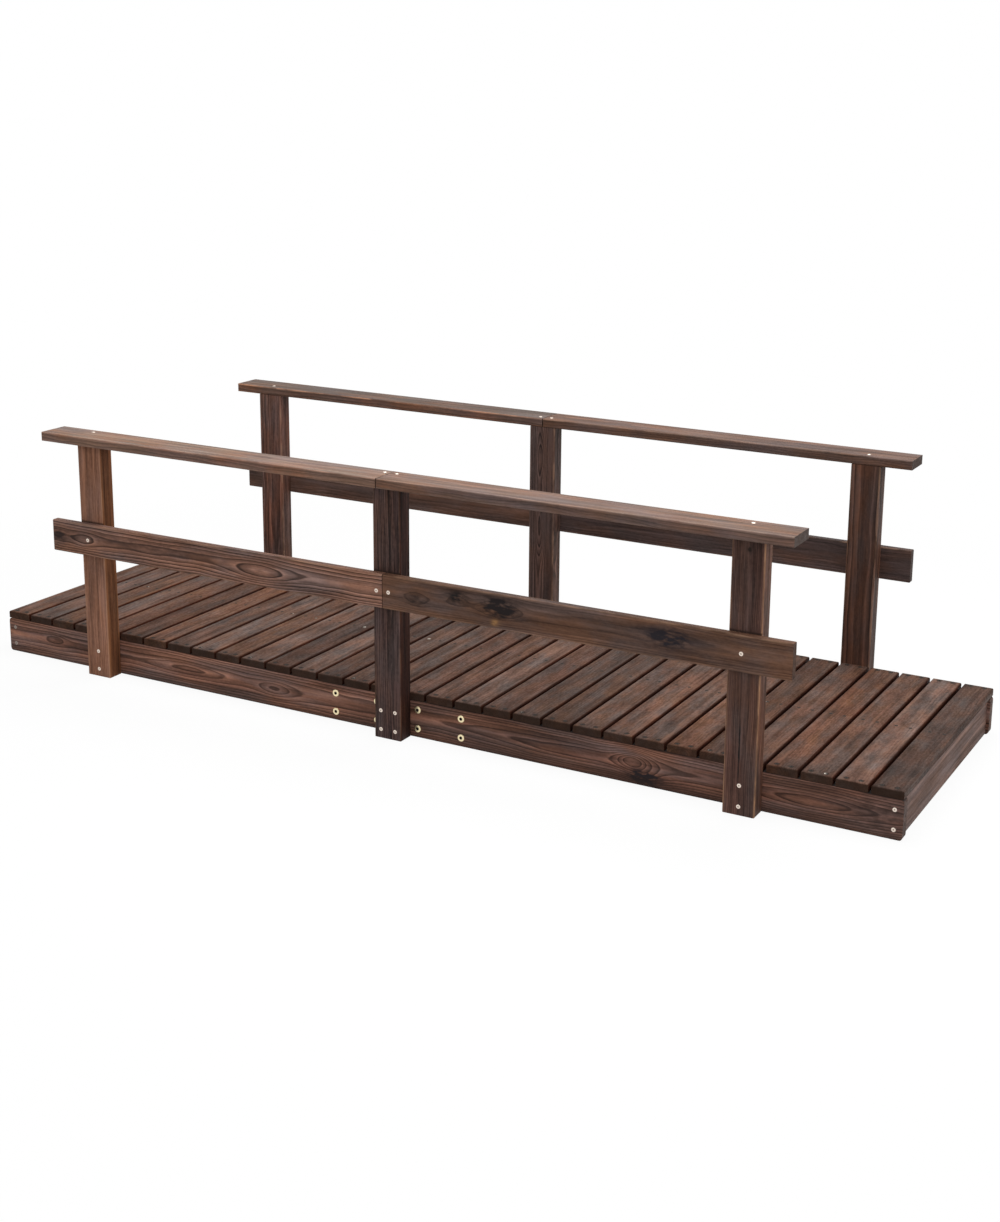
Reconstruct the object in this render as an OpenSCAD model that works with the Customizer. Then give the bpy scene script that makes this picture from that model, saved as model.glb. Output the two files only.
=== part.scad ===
// Flat garden bridge of stained timber with a railing on each side.
// X runs along the walkway, Y across it, Z up. The origin is on the ground
// under the middle of the bridge. All sizes are in millimetres.

/* [Walkway] */
// Length of the bridge over the ends of its beams
bridge_l = 2260; // [1800:10:3000]
// Width of the walkway, which is the length of a deck board
deck_w = 660; // [500:5:900]
// Thickness of a deck board
board_t = 17; // [12:0.5:28]
// Width of a deck board
board_w = 64.5; // [50:0.5:110]
// Smallest gap left between two deck boards
board_gap = 6; // [3:0.5:12]
// Rounding along the top edges of a deck board
board_round = 4; // [1:0.5:5]
// Rounding of the top edge at the two ends of a deck board
board_end_round = 3; // [1:0.5:5]
// Distance that the deck stops short of the beam ends
deck_setback = 1; // [0:0.5:10]
// Distance that the end boards stand back from the beam ends
end_setback = 7; // [0:1:40]

/* [Beams] */
// Height of the beams, from the ground to the underside of the deck
beam_h = 85; // [70:1:140]
// Thickness of the beams, the middle joist and the end boards
beam_t = 22; // [18:1:40]
// Rounding of the corners at the free ends of the beams
beam_end_round = 9; // [3:1:20]
// Length of the plate that joins two beam halves on their inner faces
plate_l = 400; // [380:10:560]
// Height of the joining plate
plate_h = 68; // [60:1:70]
// Thickness of the joining plate
plate_t = 20; // [16:1:40]
// Diameter of the bolt holes through beam and plate
bolt_hole_d = 8.5; // [6:0.5:12]
// Distance between the two bolt columns next to the middle post
bolt_inner_span = 104; // [96:2:130]
// Distance between the two outermost bolt columns
bolt_outer_span = 322; // [240:2:340]
// Distance between the two bolt rows
bolt_row_span = 43; // [24:1:46]

/* [Posts] */
// Width of a post, seen from the side of the bridge
post_w = 68; // [50:1:90]
// Thickness of a post
post_t = 39; // [20:1:45]
// Distance from the end of a beam to the middle of the end post next to it
post_inset = 318; // [150:1:420]

/* [Rails] */
// Height of the railing from the ground to the top of the handrail
rail_top = 588; // [500:1:1000]
// Width of the handrail, which lies flat on the posts
handrail_w = 80; // [56:1:110]
// Thickness of the handrail
handrail_t = 21; // [14:0.5:30]
// Height of the middle of the mid rail above the ground
mid_rail_z = 338; // [220:1:420]
// Height of the mid rail board
mid_rail_h = 75; // [50:1:100]
// Thickness of the mid rail board
mid_rail_t = 18; // [14:0.5:30]
// Distance that the rails run past the end posts
rail_overhang = 70; // [20:1:120]

/* [Timber] */
// Rounding along the long edges of beams, posts and rails
edge_round = 3; // [1:0.5:5]
// Rounding of the sawn ends of rails and of the upper corners of posts
end_round = 2; // [0.5:0.5:4]
// Gap left where two halves of a beam, joist or rail meet
butt_gap = 1.5; // [0.5:0.5:4]

/* [Hidden] */
$fn = 48;
// Small length that lets a cutter run past the face it cuts
cut_over = 1;
// Rounding along the lower edges of a deck board
board_under_round = board_round / 4;

// The walkway starts at the top of the beams
deck_z = beam_h;
beam_y = deck_w / 2 - beam_t / 2;
post_y = deck_w / 2 + post_t / 2;
post_h = rail_top - handrail_t;
post_span = bridge_l / 2 - post_inset;
// The handrail's inner edge is in line with the posts' inner faces
handrail_y = deck_w / 2 + handrail_w / 2;
mid_rail_y = deck_w / 2 + post_t + mid_rail_t / 2;
plate_y = deck_w / 2 - beam_t - plate_t / 2;

// Rail halves meet over the middle post and pass the end post
rail_end = post_span + post_w / 2 + rail_overhang;
half_rail_l = rail_end - butt_gap / 2;
half_beam_l = (bridge_l - butt_gap) / 2;

// The last deck boards cover the end boards, which stand a little further in
deck_l = bridge_l - 2 * deck_setback;
frame_l = bridge_l - 2 * end_setback;
end_board_l = deck_w - 2 * beam_t;
end_board_x = frame_l / 2 - beam_t / 2;
half_joist_l = frame_l / 2 - beam_t - butt_gap / 2;

// Even number of boards, so that a gap lies over the joint in the beams
boards_half = floor((deck_l + board_gap) / 2 / (board_w + board_gap));
board_count = 2 * boards_half;
board_pitch = (deck_l - board_w) / (board_count - 1);
// The boards are handled in stacks along the deck
deck_stacks = 8;

bolt_columns = [bolt_inner_span / 2, bolt_outer_span / 2];
bolt_rows = [beam_h / 2 - bolt_row_span / 2, beam_h / 2 + bolt_row_span / 2];

deck_colour = "#5a3b2e";
beam_colour = "#4a3027";
post_colour = "#50352b";
rail_colour = "#6d4a3b";
joist_colour = "#3f2a22";

// Rectangle with its four corners rounded, centred on the origin
module eased_rect(w, h, r) {
    square([w - 2 * r, h], center = true);
    square([w, h - 2 * r], center = true);
    for (sx = [-1, 1], sy = [-1, 1])
        translate([sx * (w / 2 - r), sy * (h / 2 - r)]) circle(r);
}

// Cross-section of a deck board: generous roundings above, slight ones below
module board_section() {
    translate([-board_w / 2, board_under_round])
        square([board_w, board_t - board_under_round - board_round]);
    translate([-board_w / 2 + board_round, 0]) square([board_w - 2 * board_round, board_t]);
    for (s = [-1, 1]) {
        translate([s * (board_w / 2 - board_round), board_t - board_round]) circle(board_round);
        translate([s * (board_w / 2 - board_under_round), board_under_round])
            circle(board_under_round);
        translate([s * (board_w / 2 - board_under_round - (board_round - board_under_round) / 2),
                   (board_t - board_round) / 2])
            square([board_round - board_under_round, board_t - board_round], center = true);
    }
}

// Outline of a deck board seen from its long edge, with eased ends on top
module board_profile() {
    square([deck_w, board_t - board_end_round]);
    translate([board_end_round, 0]) square([deck_w - 2 * board_end_round, board_t]);
    for (y = [board_end_round, deck_w - board_end_round])
        translate([y, board_t - board_end_round]) circle(board_end_round);
}

// Deck board across the walkway, centred on X and Y, with its underside at zero
module deck_board() {
    intersection() {
        translate([0, deck_w / 2, 0]) rotate([90, 0, 0]) linear_extrude(deck_w) board_section();
        translate([-board_w / 2, -deck_w / 2, 0]) rotate([90, 0, 90])
            linear_extrude(board_w) board_profile();
    }
}

// Sawn board along X from 0 to l: long edges eased, end corners eased in plan
module sawn_board(l, w, h) {
    intersection() {
        rotate([90, 0, 90]) linear_extrude(l) eased_rect(w, h, edge_round);
        translate([l / 2, 0, -h / 2]) linear_extrude(h) eased_rect(l, w, end_round);
    }
}

// Outline of a beam half in elevation, with rounded corners at its free end only
module beam_outline(l) {
    square([l - beam_end_round, beam_h]);
    translate([0, beam_end_round]) square([l, beam_h - 2 * beam_end_round]);
    for (z = [beam_end_round, beam_h - beam_end_round])
        translate([l - beam_end_round, z]) circle(beam_end_round);
}

// Bolt holes through one beam half, drilled across the joint in the middle
module bolt_drill(t) {
    for (x = bolt_columns, z = bolt_rows)
        translate([x, t / 2 + cut_over, z]) rotate([90, 0, 0])
            cylinder(d = bolt_hole_d, h = t + 2 * cut_over);
}

// Half of a side beam on the positive X side, centred on Y
module half_beam() {
    difference() {
        intersection() {
            translate([butt_gap / 2, 0, beam_h / 2]) rotate([90, 0, 90])
                linear_extrude(half_beam_l) eased_rect(beam_t, beam_h, edge_round);
            translate([butt_gap / 2, beam_t / 2, 0]) rotate([90, 0, 0])
                linear_extrude(beam_t) beam_outline(half_beam_l);
        }
        bolt_drill(beam_t);
    }
}

module beam(sx, sy) {
    color(beam_colour)
        translate([0, sy * beam_y, 0]) mirror([sx < 0 ? 1 : 0, 0, 0]) half_beam();
}

// Plate on the inner faces of two beam halves, bolted to both
module splice_plate(sy) {
    color(joist_colour) translate([0, sy * plate_y, 0]) difference() {
        translate([-plate_l / 2, 0, beam_h / 2]) sawn_board(plate_l, plate_t, plate_h);
        for (m = [0, 1]) mirror([m, 0, 0]) bolt_drill(plate_t);
    }
}

// Board on edge that closes the end of the frame between the two beams
module end_board(sx) {
    color(beam_colour)
        translate([sx * end_board_x, -end_board_l / 2, beam_h / 2]) rotate([0, 0, 90])
            rotate([90, 0, 90]) linear_extrude(end_board_l) eased_rect(beam_t, beam_h, edge_round);
}

// Half of the joist that carries the boards along the middle of the walkway
module joist(sx) {
    color(joist_colour) mirror([sx < 0 ? 1 : 0, 0, 0])
        translate([butt_gap / 2, 0, beam_h / 2]) rotate([90, 0, 90])
            linear_extrude(half_joist_l) eased_rect(beam_t, beam_h, edge_round);
}

// One stack of deck boards, counted from the left end of the bridge
module deck_boards(stack) {
    first = floor((stack - 1) * board_count / deck_stacks);
    last = floor(stack * board_count / deck_stacks) - 1;
    color(deck_colour) for (i = [first : last])
        translate([(i - (board_count - 1) / 2) * board_pitch, 0, deck_z]) deck_board();
}

// Post on the outer face of a beam, standing on the ground
module post(sx, sy) {
    color(post_colour) translate([sx * post_span, sy * post_y, 0]) intersection() {
        linear_extrude(post_h) eased_rect(post_w, post_t, edge_round);
        translate([0, post_t / 2, post_h / 2]) rotate([90, 0, 0])
            linear_extrude(post_t) eased_rect(post_w, post_h, end_round);
    }
}

// Half of a handrail, flat on the post tops
module handrail(sx, sy) {
    color(rail_colour) mirror([sx < 0 ? 1 : 0, 0, 0])
        translate([butt_gap / 2, sy * handrail_y, post_h + handrail_t / 2])
            sawn_board(half_rail_l, handrail_w, handrail_t);
}

// Half of a mid rail, upright on the outer faces of the posts
module mid_rail(sx, sy) {
    color(rail_colour) mirror([sx < 0 ? 1 : 0, 0, 0])
        translate([butt_gap / 2, sy * mid_rail_y, mid_rail_z]) rotate([90, 0, 0])
            sawn_board(half_rail_l, mid_rail_h, mid_rail_t);
}

beam(-1, -1);  // front_left_beam
beam(1, -1);  // front_right_beam
beam(-1, 1);  // back_left_beam
beam(1, 1);  // back_right_beam
splice_plate(-1);  // front_splice_plate
splice_plate(1);  // back_splice_plate
end_board(-1);  // left_end_board
end_board(1);  // right_end_board
joist(-1);  // left_joist
joist(1);  // right_joist
deck_boards(1);  // deck_boards_1
deck_boards(2);  // deck_boards_2
deck_boards(3);  // deck_boards_3
deck_boards(4);  // deck_boards_4
deck_boards(5);  // deck_boards_5
deck_boards(6);  // deck_boards_6
deck_boards(7);  // deck_boards_7
deck_boards(8);  // deck_boards_8
post(-1, -1);  // front_left_post
post(0, -1);  // front_middle_post
post(1, -1);  // front_right_post
post(-1, 1);  // back_left_post
post(0, 1);  // back_middle_post
post(1, 1);  // back_right_post
handrail(-1, -1);  // front_left_handrail
handrail(1, -1);  // front_right_handrail
handrail(-1, 1);  // back_left_handrail
handrail(1, 1);  // back_right_handrail
mid_rail(-1, -1);  // front_left_mid_rail
mid_rail(1, -1);  // front_right_mid_rail
mid_rail(-1, 1);  // back_left_mid_rail
mid_rail(1, 1);  // back_right_mid_rail
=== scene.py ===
"""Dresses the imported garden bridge: stained fir boards, screws, bolts, floor, lamps and camera."""

import logging
import math
import random
from collections.abc import Callable, Iterable
from dataclasses import dataclass, field, replace
from enum import Enum
from typing import ClassVar

import bpy
from mathutils import Matrix, Vector


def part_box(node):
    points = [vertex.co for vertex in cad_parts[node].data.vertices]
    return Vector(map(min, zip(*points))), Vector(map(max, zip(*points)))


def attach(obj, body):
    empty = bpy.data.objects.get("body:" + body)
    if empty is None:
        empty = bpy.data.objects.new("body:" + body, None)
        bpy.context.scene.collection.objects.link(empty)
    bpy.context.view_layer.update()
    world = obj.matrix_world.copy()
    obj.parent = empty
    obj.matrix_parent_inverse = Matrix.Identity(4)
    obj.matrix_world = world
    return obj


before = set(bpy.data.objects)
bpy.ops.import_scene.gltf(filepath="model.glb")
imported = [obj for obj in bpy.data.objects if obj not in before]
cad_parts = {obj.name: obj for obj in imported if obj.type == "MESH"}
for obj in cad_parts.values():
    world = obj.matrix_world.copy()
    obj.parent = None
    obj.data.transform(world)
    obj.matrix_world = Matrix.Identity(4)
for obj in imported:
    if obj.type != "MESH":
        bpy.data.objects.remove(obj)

LOG = logging.getLogger("garden_bridge")
BODY = "root"
MM = 0.001
UP = (0, 0, 1)
STRAIGHT = 0.99
WHITE = "#ffffff"
LUMINANCE = (0.2126, 0.7152, 0.0722)
SIDES = {"front": -1, "back": 1}
ENDS = {"left": -1, "right": 1}
DECK_BOARDS = 32
DECK_STACKS = tuple(f"deck_boards_{n}" for n in range(1, 9))

# Sockets of the Mix node that carry colour.
MIX_FIRST = 6
MIX_SECOND = 7
MIX_RESULT = 2

Socket = bpy.types.NodeSocket
Tree = bpy.types.NodeTree
Piece = bpy.types.Object
Face = bpy.types.MeshPolygon
Layer = tuple[Socket, str]


def linear(colour: str, factor: float = 1.0) -> tuple[float, float, float, float]:
    """Turns an sRGB hex colour into linear values.

    Args:
        colour: Colour as #rrggbb.
        factor: Lightens or darkens the linear values, 1 leaves them.

    Returns:
        Red, green, blue and alpha for a shader socket.
    """
    parts = [int(colour[i:i + 2], 16) / 255.0 for i in (1, 3, 5)]
    bent = [p / 12.92 if p <= 0.04045 else ((p + 0.055) / 1.055) ** 2.4 for p in parts]
    red, green, blue = (min(p * factor, 1.0) for p in bent)
    return red, green, blue, 1.0


def repaint(colour: str) -> tuple[float, ...]:
    """Scales a colour to a lightness of 1, for giving wood its hue and nothing else.

    Args:
        colour: Colour as #rrggbb.

    Returns:
        Red, green and blue factors.
    """
    parts = linear(colour)[:3]
    light = sum(weight * part for weight, part in zip(LUMINANCE, parts))
    return tuple(part / light for part in parts)


def add_node(tree: Tree, kind: str, inputs: dict[int | str, object] | None = None,
             **settings: object) -> bpy.types.Node:
    """Adds a shader node with its settings and links.

    Args:
        tree: Node tree of the material.
        kind: Blender's name for the node, without its prefix.
        inputs: Input name or number to a socket to link, or to a value.
        settings: Attributes of the node.

    Returns:
        The new node.
    """
    node = tree.nodes.new(f"ShaderNode{kind}")
    for name, value in settings.items():
        setattr(node, name, value)
    for name, value in (inputs or {}).items():
        if isinstance(value, Socket):
            tree.links.new(value, node.inputs[name])
        else:
            node.inputs[name].default_value = value
    return node


def new_material(name: str) -> tuple[bpy.types.Material, Tree]:
    """Starts a material with an empty node tree.

    Args:
        name: Name of the material.

    Returns:
        The material and its tree.
    """
    made = bpy.data.materials.new(name)
    made.use_nodes = True
    made.node_tree.nodes.clear()
    return made, made.node_tree


def box_mm(node: str) -> tuple[Vector, Vector, Vector]:
    """Measures a CAD node.

    Args:
        node: Name of the node.

    Returns:
        Its lowest corner, highest corner and middle, in millimetres.
    """
    low, high = (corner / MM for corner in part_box(node))
    return low, high, (low + high) / 2


def deck_run() -> tuple[float, float]:
    """Works out how the deck boards follow each other, from the first stack and the whole deck.

    Returns:
        Spacing from board to board and width of one board, in millimetres.
    """
    low, high, _ = box_mm(DECK_STACKS[0])
    whole = box_mm(DECK_STACKS[-1])[1].x - low.x
    stack = high.x - low.x
    per_stack = DECK_BOARDS // len(DECK_STACKS)
    pitch = (whole - stack) / (DECK_BOARDS - per_stack)
    return pitch, stack - (per_stack - 1) * pitch


class Lie(Enum):
    """How a board lies: the directions of its fibres, its width and its thickness."""

    FLAT_ALONG = ((1, 0, 0), (0, 1, 0), (0, 0, 1))
    UPRIGHT_ALONG = ((1, 0, 0), (0, 0, 1), (0, -1, 0))
    FLAT_ACROSS = ((0, 1, 0), (-1, 0, 0), (0, 0, 1))
    UPRIGHT_ACROSS = ((0, 1, 0), (0, 0, 1), (1, 0, 0))
    STANDING = ((0, 0, 1), (1, 0, 0), (0, 1, 0))

    @property
    def turn(self) -> Matrix:
        """Rotation from the bridge's axes to fibre, width and thickness."""
        return Matrix(self.value)


@dataclass(frozen=True)
class Cells:
    """A noise in the wood, with cells sized along the fibres, across and through, in millimetres.

    The salt keeps two noises of one board apart, and the detail is the number of octaves.
    """

    size: tuple[float, float, float]
    salt: float
    detail: float = 2.0


# The finest fibres are drawn 3 mm wide, because real ones are too thin to show in a picture.
FINE_FIBRES = Cells((90.0, 3.0, 3.0), 17.3)
BROAD_FIBRES = Cells((340.0, 12.0, 12.0), 23.9)
SPECKS = Cells((9.0, 4.0, 4.0), 29.3, detail=1.0)
RING_RIPPLE = Cells((110.0, 24.0, 24.0), 9.7)
KNOT_RAGS = Cells((22.0, 8.0, 8.0), 41.1, detail=3.0)
RUBBED_SPOTS = Cells((70.0, 30.0, 30.0), 47.3, detail=3.0)
WANDER_SALT = 3.1
PATCH_SALT = 31.7
NOISE_ROUGHNESS = 0.55

# Steps by which seed and salt move a noise, and by which the lots of a run of boards move it.
NOISE_STEP = (1.37, 0.61, 2.3)
LOT_STEP = (60.0, 60.0, 60.0)
# How far the pith moves from board to board of a run, in millimetres.
LOT_PITH = (0.0, 90.0, 30.0)

# Values between which a pattern or a face fades in.
FIBRE_SPREAD = 0.26
CLOUD_SPAN = (0.3, 0.7)
HUE_SPAN = (0.42, 0.66)
RAG_SPAN = (0.25, 0.62)
RUB_SPAN = (0.42, 0.6)
NARROW_SPAN = (0.3, 0.75)
SAWN_SPAN = (0.8, 1.0)
OUTER_FACE_SPAN = (0.9, 0.95)

# Reach in millimetres of the stain from a sawn end, and of the painted shade from the ground and from a
# corner.
SEEP_MM = 45.0
FOOT_MM = 26.0
CORNER_MM = 5.0
# Share of a reach within which the arris tone and the painted corner shade are full.
FULL_WITHIN = 0.4


@dataclass(frozen=True)
class Knot:
    """A knot or an eye in the figure, placed from the middle of the board's wide face, in millimetres.

    Swell pushes the growth rings aside, and depth says how strongly the stain colours the knot.
    """

    along: float
    across: float
    length: float
    width: float
    swell: float = 0.0
    stain: str = "#120c0b"
    depth: float = 0.0


@dataclass(frozen=True)
class Figure:
    """How the growth rings of the log run through one board, with lengths in millimetres."""

    seed: int
    # Where the pith lies from the middle of the board, and how fast it leaves along the board.
    pith_across: float = 3.0
    pith_depth: float = 30.0
    drift_depth: float = 0.004
    # How far the pith wanders across and in depth, and how long and wide these waves are.
    wobble: float = 6.0
    heave: float = 1.6
    wave: float = 260.0
    wave_across: float = 150.0
    # Width of a ring, its ripple as a share of that, and where the first ring starts.
    ring: float = 3.8
    ripple: float = 0.8
    phase: float = 0.0
    # Rings between good and bad years, how much those differ, and the least strength of a ring.
    decade: float = 5.0
    uneven: float = 2.0
    bold: float = 0.25
    knots: tuple[Knot, ...] = ()


@dataclass(frozen=True)
class StainedFir:
    """Fir, sawn and brushed with a dark brown stain.

    The eye gets a matte brown with darker late wood, cloudy warm and grey patches, arrises in a tone that is
    partly wear and partly painted light, end grain soaked nearly black, and painted light and shade on the
    narrow sides, along the ground and in corners.
    """

    tone: str
    # Factors on the tone for early wood, late wood and rings that hardly show.
    light: float = 1.6
    dark: float = 0.3
    plain: float = 0.9
    # How strongly the fibres show, and how much hair-fine ones and specks add to broad ones.
    fibre: float = 0.42
    hair: float = 0.5
    grit: float = 0.3
    # Tone of the narrow sides, where it differs: painted light and shade, dark on the deck's sides in the
    # gaps and on the beams' top and bottom, lighter or darker on the sides of posts and handrails as the
    # lamps fall on them.
    painted_side_tone: str = ""
    # Gloss, roughness from dark to light fibres, and relief of rings and fibres.
    sheen: float = 0.15
    ior: float = 1.5
    rough: tuple[float, float] = (0.75, 0.52)
    ridge: float = 0.3
    bump: float = 0.5
    bump_mm: float = 0.8
    # Patches in millimetres along and across, and how much they change lightness and hue.
    patch: tuple[float, float] = (150.0, 40.0)
    mottle: float = 0.2
    grey: str = "#5a4f4e"
    greying: float = 0.6
    warm: str = "#7c5642"
    warming: float = 0.5
    # How much the boards of a run differ from each other, in lightness and in hue.
    spread: float = 0.0
    own_hue: float = 0.8
    # Tone of the arrises, partly rubbed wear and partly painted light: pale highlights on rails and posts,
    # painted shade along the deck's gaps. Its colour, share, width in millimetres and the share between
    # rubbed spots.
    arris_wear_and_light: str = "#b08a70"
    wear: float = 0.5
    wear_mm: float = 4.5
    rubbed: float = 0.12
    # Soaked stain: its colour, and its share on sawn ends and near them. The same colour serves as painted
    # shade by the ground and in corners, with its share there.
    end: str = "#33251f"
    soak: float = 0.65
    thirst: float = 0.45
    seep: float = 0.0
    foot: float = 0.0
    corner: float = 0.8

    def ring_stops(self) -> tuple[tuple[float, float], ...]:
        """Lists how light the wood is through a growth ring.

        Returns:
            Places within the ring from early to late wood, each with a factor on the tone.
        """
        late = 1 - self.dark
        return ((0.0, 1 - late * 0.6), (0.1, self.light), (0.4, 1.0),
                (0.68, 1 - late * 0.3), (0.84, self.dark), (1.0, self.dark))


@dataclass
class Board:
    """A board, or a run of boards, in one finish.

    The pattern is laid out from the board's own middle, in millimetres, with the fibres along its first axis,
    so that grain and rings sit where saw and log would have left them and the edge tones follow the arrises.
    The sockets are set while the material is made: the place on the board, the direction of the face and, in
    a run, a random colour for each board and whether a side looks into a gap, where it gets painted shade.
    """

    nodes: tuple[str, ...]
    lie: Lie
    finish: StainedFir
    figure: Figure
    half: Vector = field(default_factory=Vector)
    middle: Vector = field(default_factory=Vector)
    tree: Tree | None = None
    local: Socket | None = None
    normal: Socket | None = None
    lot: Socket | None = None
    inner: Socket | None = None

    def measure(self) -> None:
        """Takes the middle and half sizes from the node's box."""
        low, high, self.middle = box_mm(self.nodes[0])
        self.half = Vector([abs(x) for x in self.lie.turn @ (high - low)]) / 2

    def dress(self) -> None:
        """Gives the nodes their material."""
        self.measure()
        wood = self.material()
        for node in self.nodes:
            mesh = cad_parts[node].data
            mesh.materials.clear()
            mesh.materials.append(wood)
            LOG.info("%s is dressed in %s", node, wood.name)

    def material(self) -> bpy.types.Material:
        """Builds the stained fir of this board.

        Returns:
            The material, with its pattern in the board's own millimetres.
        """
        look = self.finish
        made, tree = new_material(f"stained_fir_{self.nodes[0]}")
        place = add_node(tree, "TexCoord").outputs
        self.tree = tree
        self.normal = place["Normal"]
        self.local = add_node(tree, "Mapping", {
            "Vector": place["Object"],
            "Location": -(self.lie.turn @ self.middle),
            "Rotation": self.lie.turn.to_euler("XYZ"),
            "Scale": (1 / MM, 1 / MM, 1 / MM)}).outputs[0]
        self.draw_lots()
        ring, vigour, hills = self.rings()
        fibre = self.fibres()
        wood = self.stain(ring, vigour, fibre)
        for share, colour in self.knots(hills) + self.edges() + self.corner():
            wood = add_node(tree, "Mix", {0: share, MIX_FIRST: wood, MIX_SECOND: linear(colour)},
                            data_type="RGBA").outputs[MIX_RESULT]
        # Painted light and shade on the narrow sides, then the sawn ends soaked dark.
        wood = self.soak(self.paint_side_light(wood))
        relief = add_node(tree, "Math", {
            0: ring, 1: look.ridge, 2: fibre}, operation="MULTIPLY_ADD").outputs[0]
        bump = add_node(tree, "Bump", {
            "Strength": look.bump, "Distance": look.bump_mm * MM, "Height": relief}).outputs[0]
        rough = add_node(tree, "MapRange", {
            "Value": fibre, "To Min": look.rough[0], "To Max": look.rough[1]}).outputs[0]
        shader = add_node(tree, "BsdfPrincipled", {
            "Base Color": wood, "Roughness": rough, "Normal": bump, "IOR": look.ior,
            "Specular IOR Level": look.sheen})
        add_node(tree, "OutputMaterial", {"Surface": shader.outputs[0]})
        return made

    def draw_lots(self) -> None:
        """A single board draws no lot."""

    def noise(self, cells: Cells) -> bpy.types.Node:
        """Adds noise with cells of a real size, different for each board.

        Args:
            cells: Sizes of the cells.

        Returns:
            The noise node.
        """
        tree, seed, salt = self.tree, self.figure.seed, cells.salt
        start = (seed * NOISE_STEP[0] + salt, seed * NOISE_STEP[1] - salt, salt * NOISE_STEP[2])
        spot = add_node(tree, "VectorMath", {
            0: self.local, 1: tuple(1 / s for s in cells.size), 2: start},
            operation="MULTIPLY_ADD").outputs[0]
        if self.lot:
            spot = add_node(tree, "VectorMath", {
                0: self.lot, 1: LOT_STEP, 2: spot}, operation="MULTIPLY_ADD").outputs[0]
        return add_node(tree, "TexNoise", {
            "Vector": spot, "Scale": 1.0, "Detail": cells.detail, "Roughness": NOISE_ROUGHNESS})

    def rings(self) -> tuple[Socket, Socket, list[Socket]]:
        """Cuts the board out of a log: rings round a pith that wanders along the board.

        Returns:
            Place within a ring from 0 to 1, how strongly that ring shows, and the hill of each knot.
        """
        fig, tree = self.figure, self.tree
        wander = self.noise(Cells((fig.wave, fig.wave_across, fig.wave_across), WANDER_SALT)).outputs["Color"]
        # The noise lies round a half, so four times it less two swings to both sides.
        shift = add_node(tree, "VectorMath", {
            0: wander, 1: (0.0, 4 * fig.wobble, 4 * fig.heave),
            2: (0.0, -2 * fig.wobble - fig.pith_across, fig.pith_depth - 2 * fig.heave)},
            operation="MULTIPLY_ADD").outputs[0]
        if self.lot:
            shift = add_node(tree, "VectorMath", {
                0: self.lot, 1: LOT_PITH, 2: shift}, operation="MULTIPLY_ADD").outputs[0]
        spot = add_node(tree, "VectorMath", {0: self.local, 1: shift}, operation="ADD").outputs[0]
        along = add_node(tree, "SeparateXYZ", {0: self.local}).outputs[0]
        spot = add_node(tree, "VectorMath", {
            0: along, 1: (0.0, 0.0, fig.drift_depth), 2: spot},
            operation="MULTIPLY_ADD").outputs[0]
        flat = add_node(tree, "VectorMath", {0: spot, 1: (0.0, 1.0, 1.0)}, operation="MULTIPLY").outputs[0]
        radius = add_node(tree, "VectorMath", {0: flat}, operation="LENGTH").outputs["Value"]
        ripple = self.noise(RING_RIPPLE).outputs[0]
        radius = add_node(tree, "Math", {
            0: ripple, 1: fig.ring * fig.ripple, 2: radius}, operation="MULTIPLY_ADD").outputs[0]
        hills = []
        for knot in fig.knots:
            near = add_node(tree, "VectorMath", {
                0: self.local, 1: (1 / knot.length, 1 / knot.width, 0.0),
                2: (-knot.along / knot.length, -knot.across / knot.width, 0.0)},
                operation="MULTIPLY_ADD").outputs[0]
            reach = add_node(tree, "VectorMath", {0: near, 1: near}, operation="DOT_PRODUCT").outputs["Value"]
            # A hill of height 1 in the middle of the knot, soft at its rim.
            hill = add_node(tree, "Math", {0: math.exp(-1.0), 1: reach}, operation="POWER").outputs[0]
            radius = add_node(tree, "Math", {
                0: hill, 1: knot.swell, 2: radius}, operation="MULTIPLY_ADD").outputs[0]
            hills.append(hill)
        count = add_node(tree, "Math", {
            0: radius, 1: 1 / fig.ring, 2: fig.phase}, operation="MULTIPLY_ADD").outputs[0]
        season = add_node(tree, "Math", {
            0: radius, 1: 1 / (fig.ring * fig.decade), 2: float(fig.seed)},
            operation="MULTIPLY_ADD").outputs[0]
        growth = add_node(tree, "TexNoise", {
            "W": season, "Scale": 1.0, "Detail": 1.0}, noise_dimensions="1D").outputs[0]
        count = add_node(tree, "Math", {
            0: growth, 1: fig.uneven, 2: count}, operation="MULTIPLY_ADD").outputs[0]
        year = add_node(tree, "Math", {0: count}, operation="FLOOR").outputs[0]
        chance = add_node(tree, "TexWhiteNoise", {"W": year}, noise_dimensions="1D").outputs["Value"]
        vigour = add_node(tree, "MapRange", {"Value": chance, "To Min": fig.bold}).outputs[0]
        return add_node(tree, "Math", {0: count}, operation="FRACT").outputs[0], vigour, hills

    def fibres(self) -> Socket:
        """Draws fine and broad fibres and the specks between them.

        Returns:
            Lightness of the fibre from 0 to 1.
        """
        look, tree = self.finish, self.tree
        fine, broad, specks = (self.noise(c).outputs[0] for c in (FINE_FIBRES, BROAD_FIBRES, SPECKS))
        both = add_node(tree, "Math", {0: fine, 1: look.hair, 2: broad}, operation="MULTIPLY_ADD").outputs[0]
        total = add_node(tree, "Math", {
            0: specks, 1: look.grit, 2: both}, operation="MULTIPLY_ADD").outputs[0]
        mean = (1.0 + look.hair + look.grit) / 2
        return add_node(tree, "MapRange", {
            "Value": total, "From Min": mean - FIBRE_SPREAD, "From Max": mean + FIBRE_SPREAD}).outputs[0]

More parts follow.
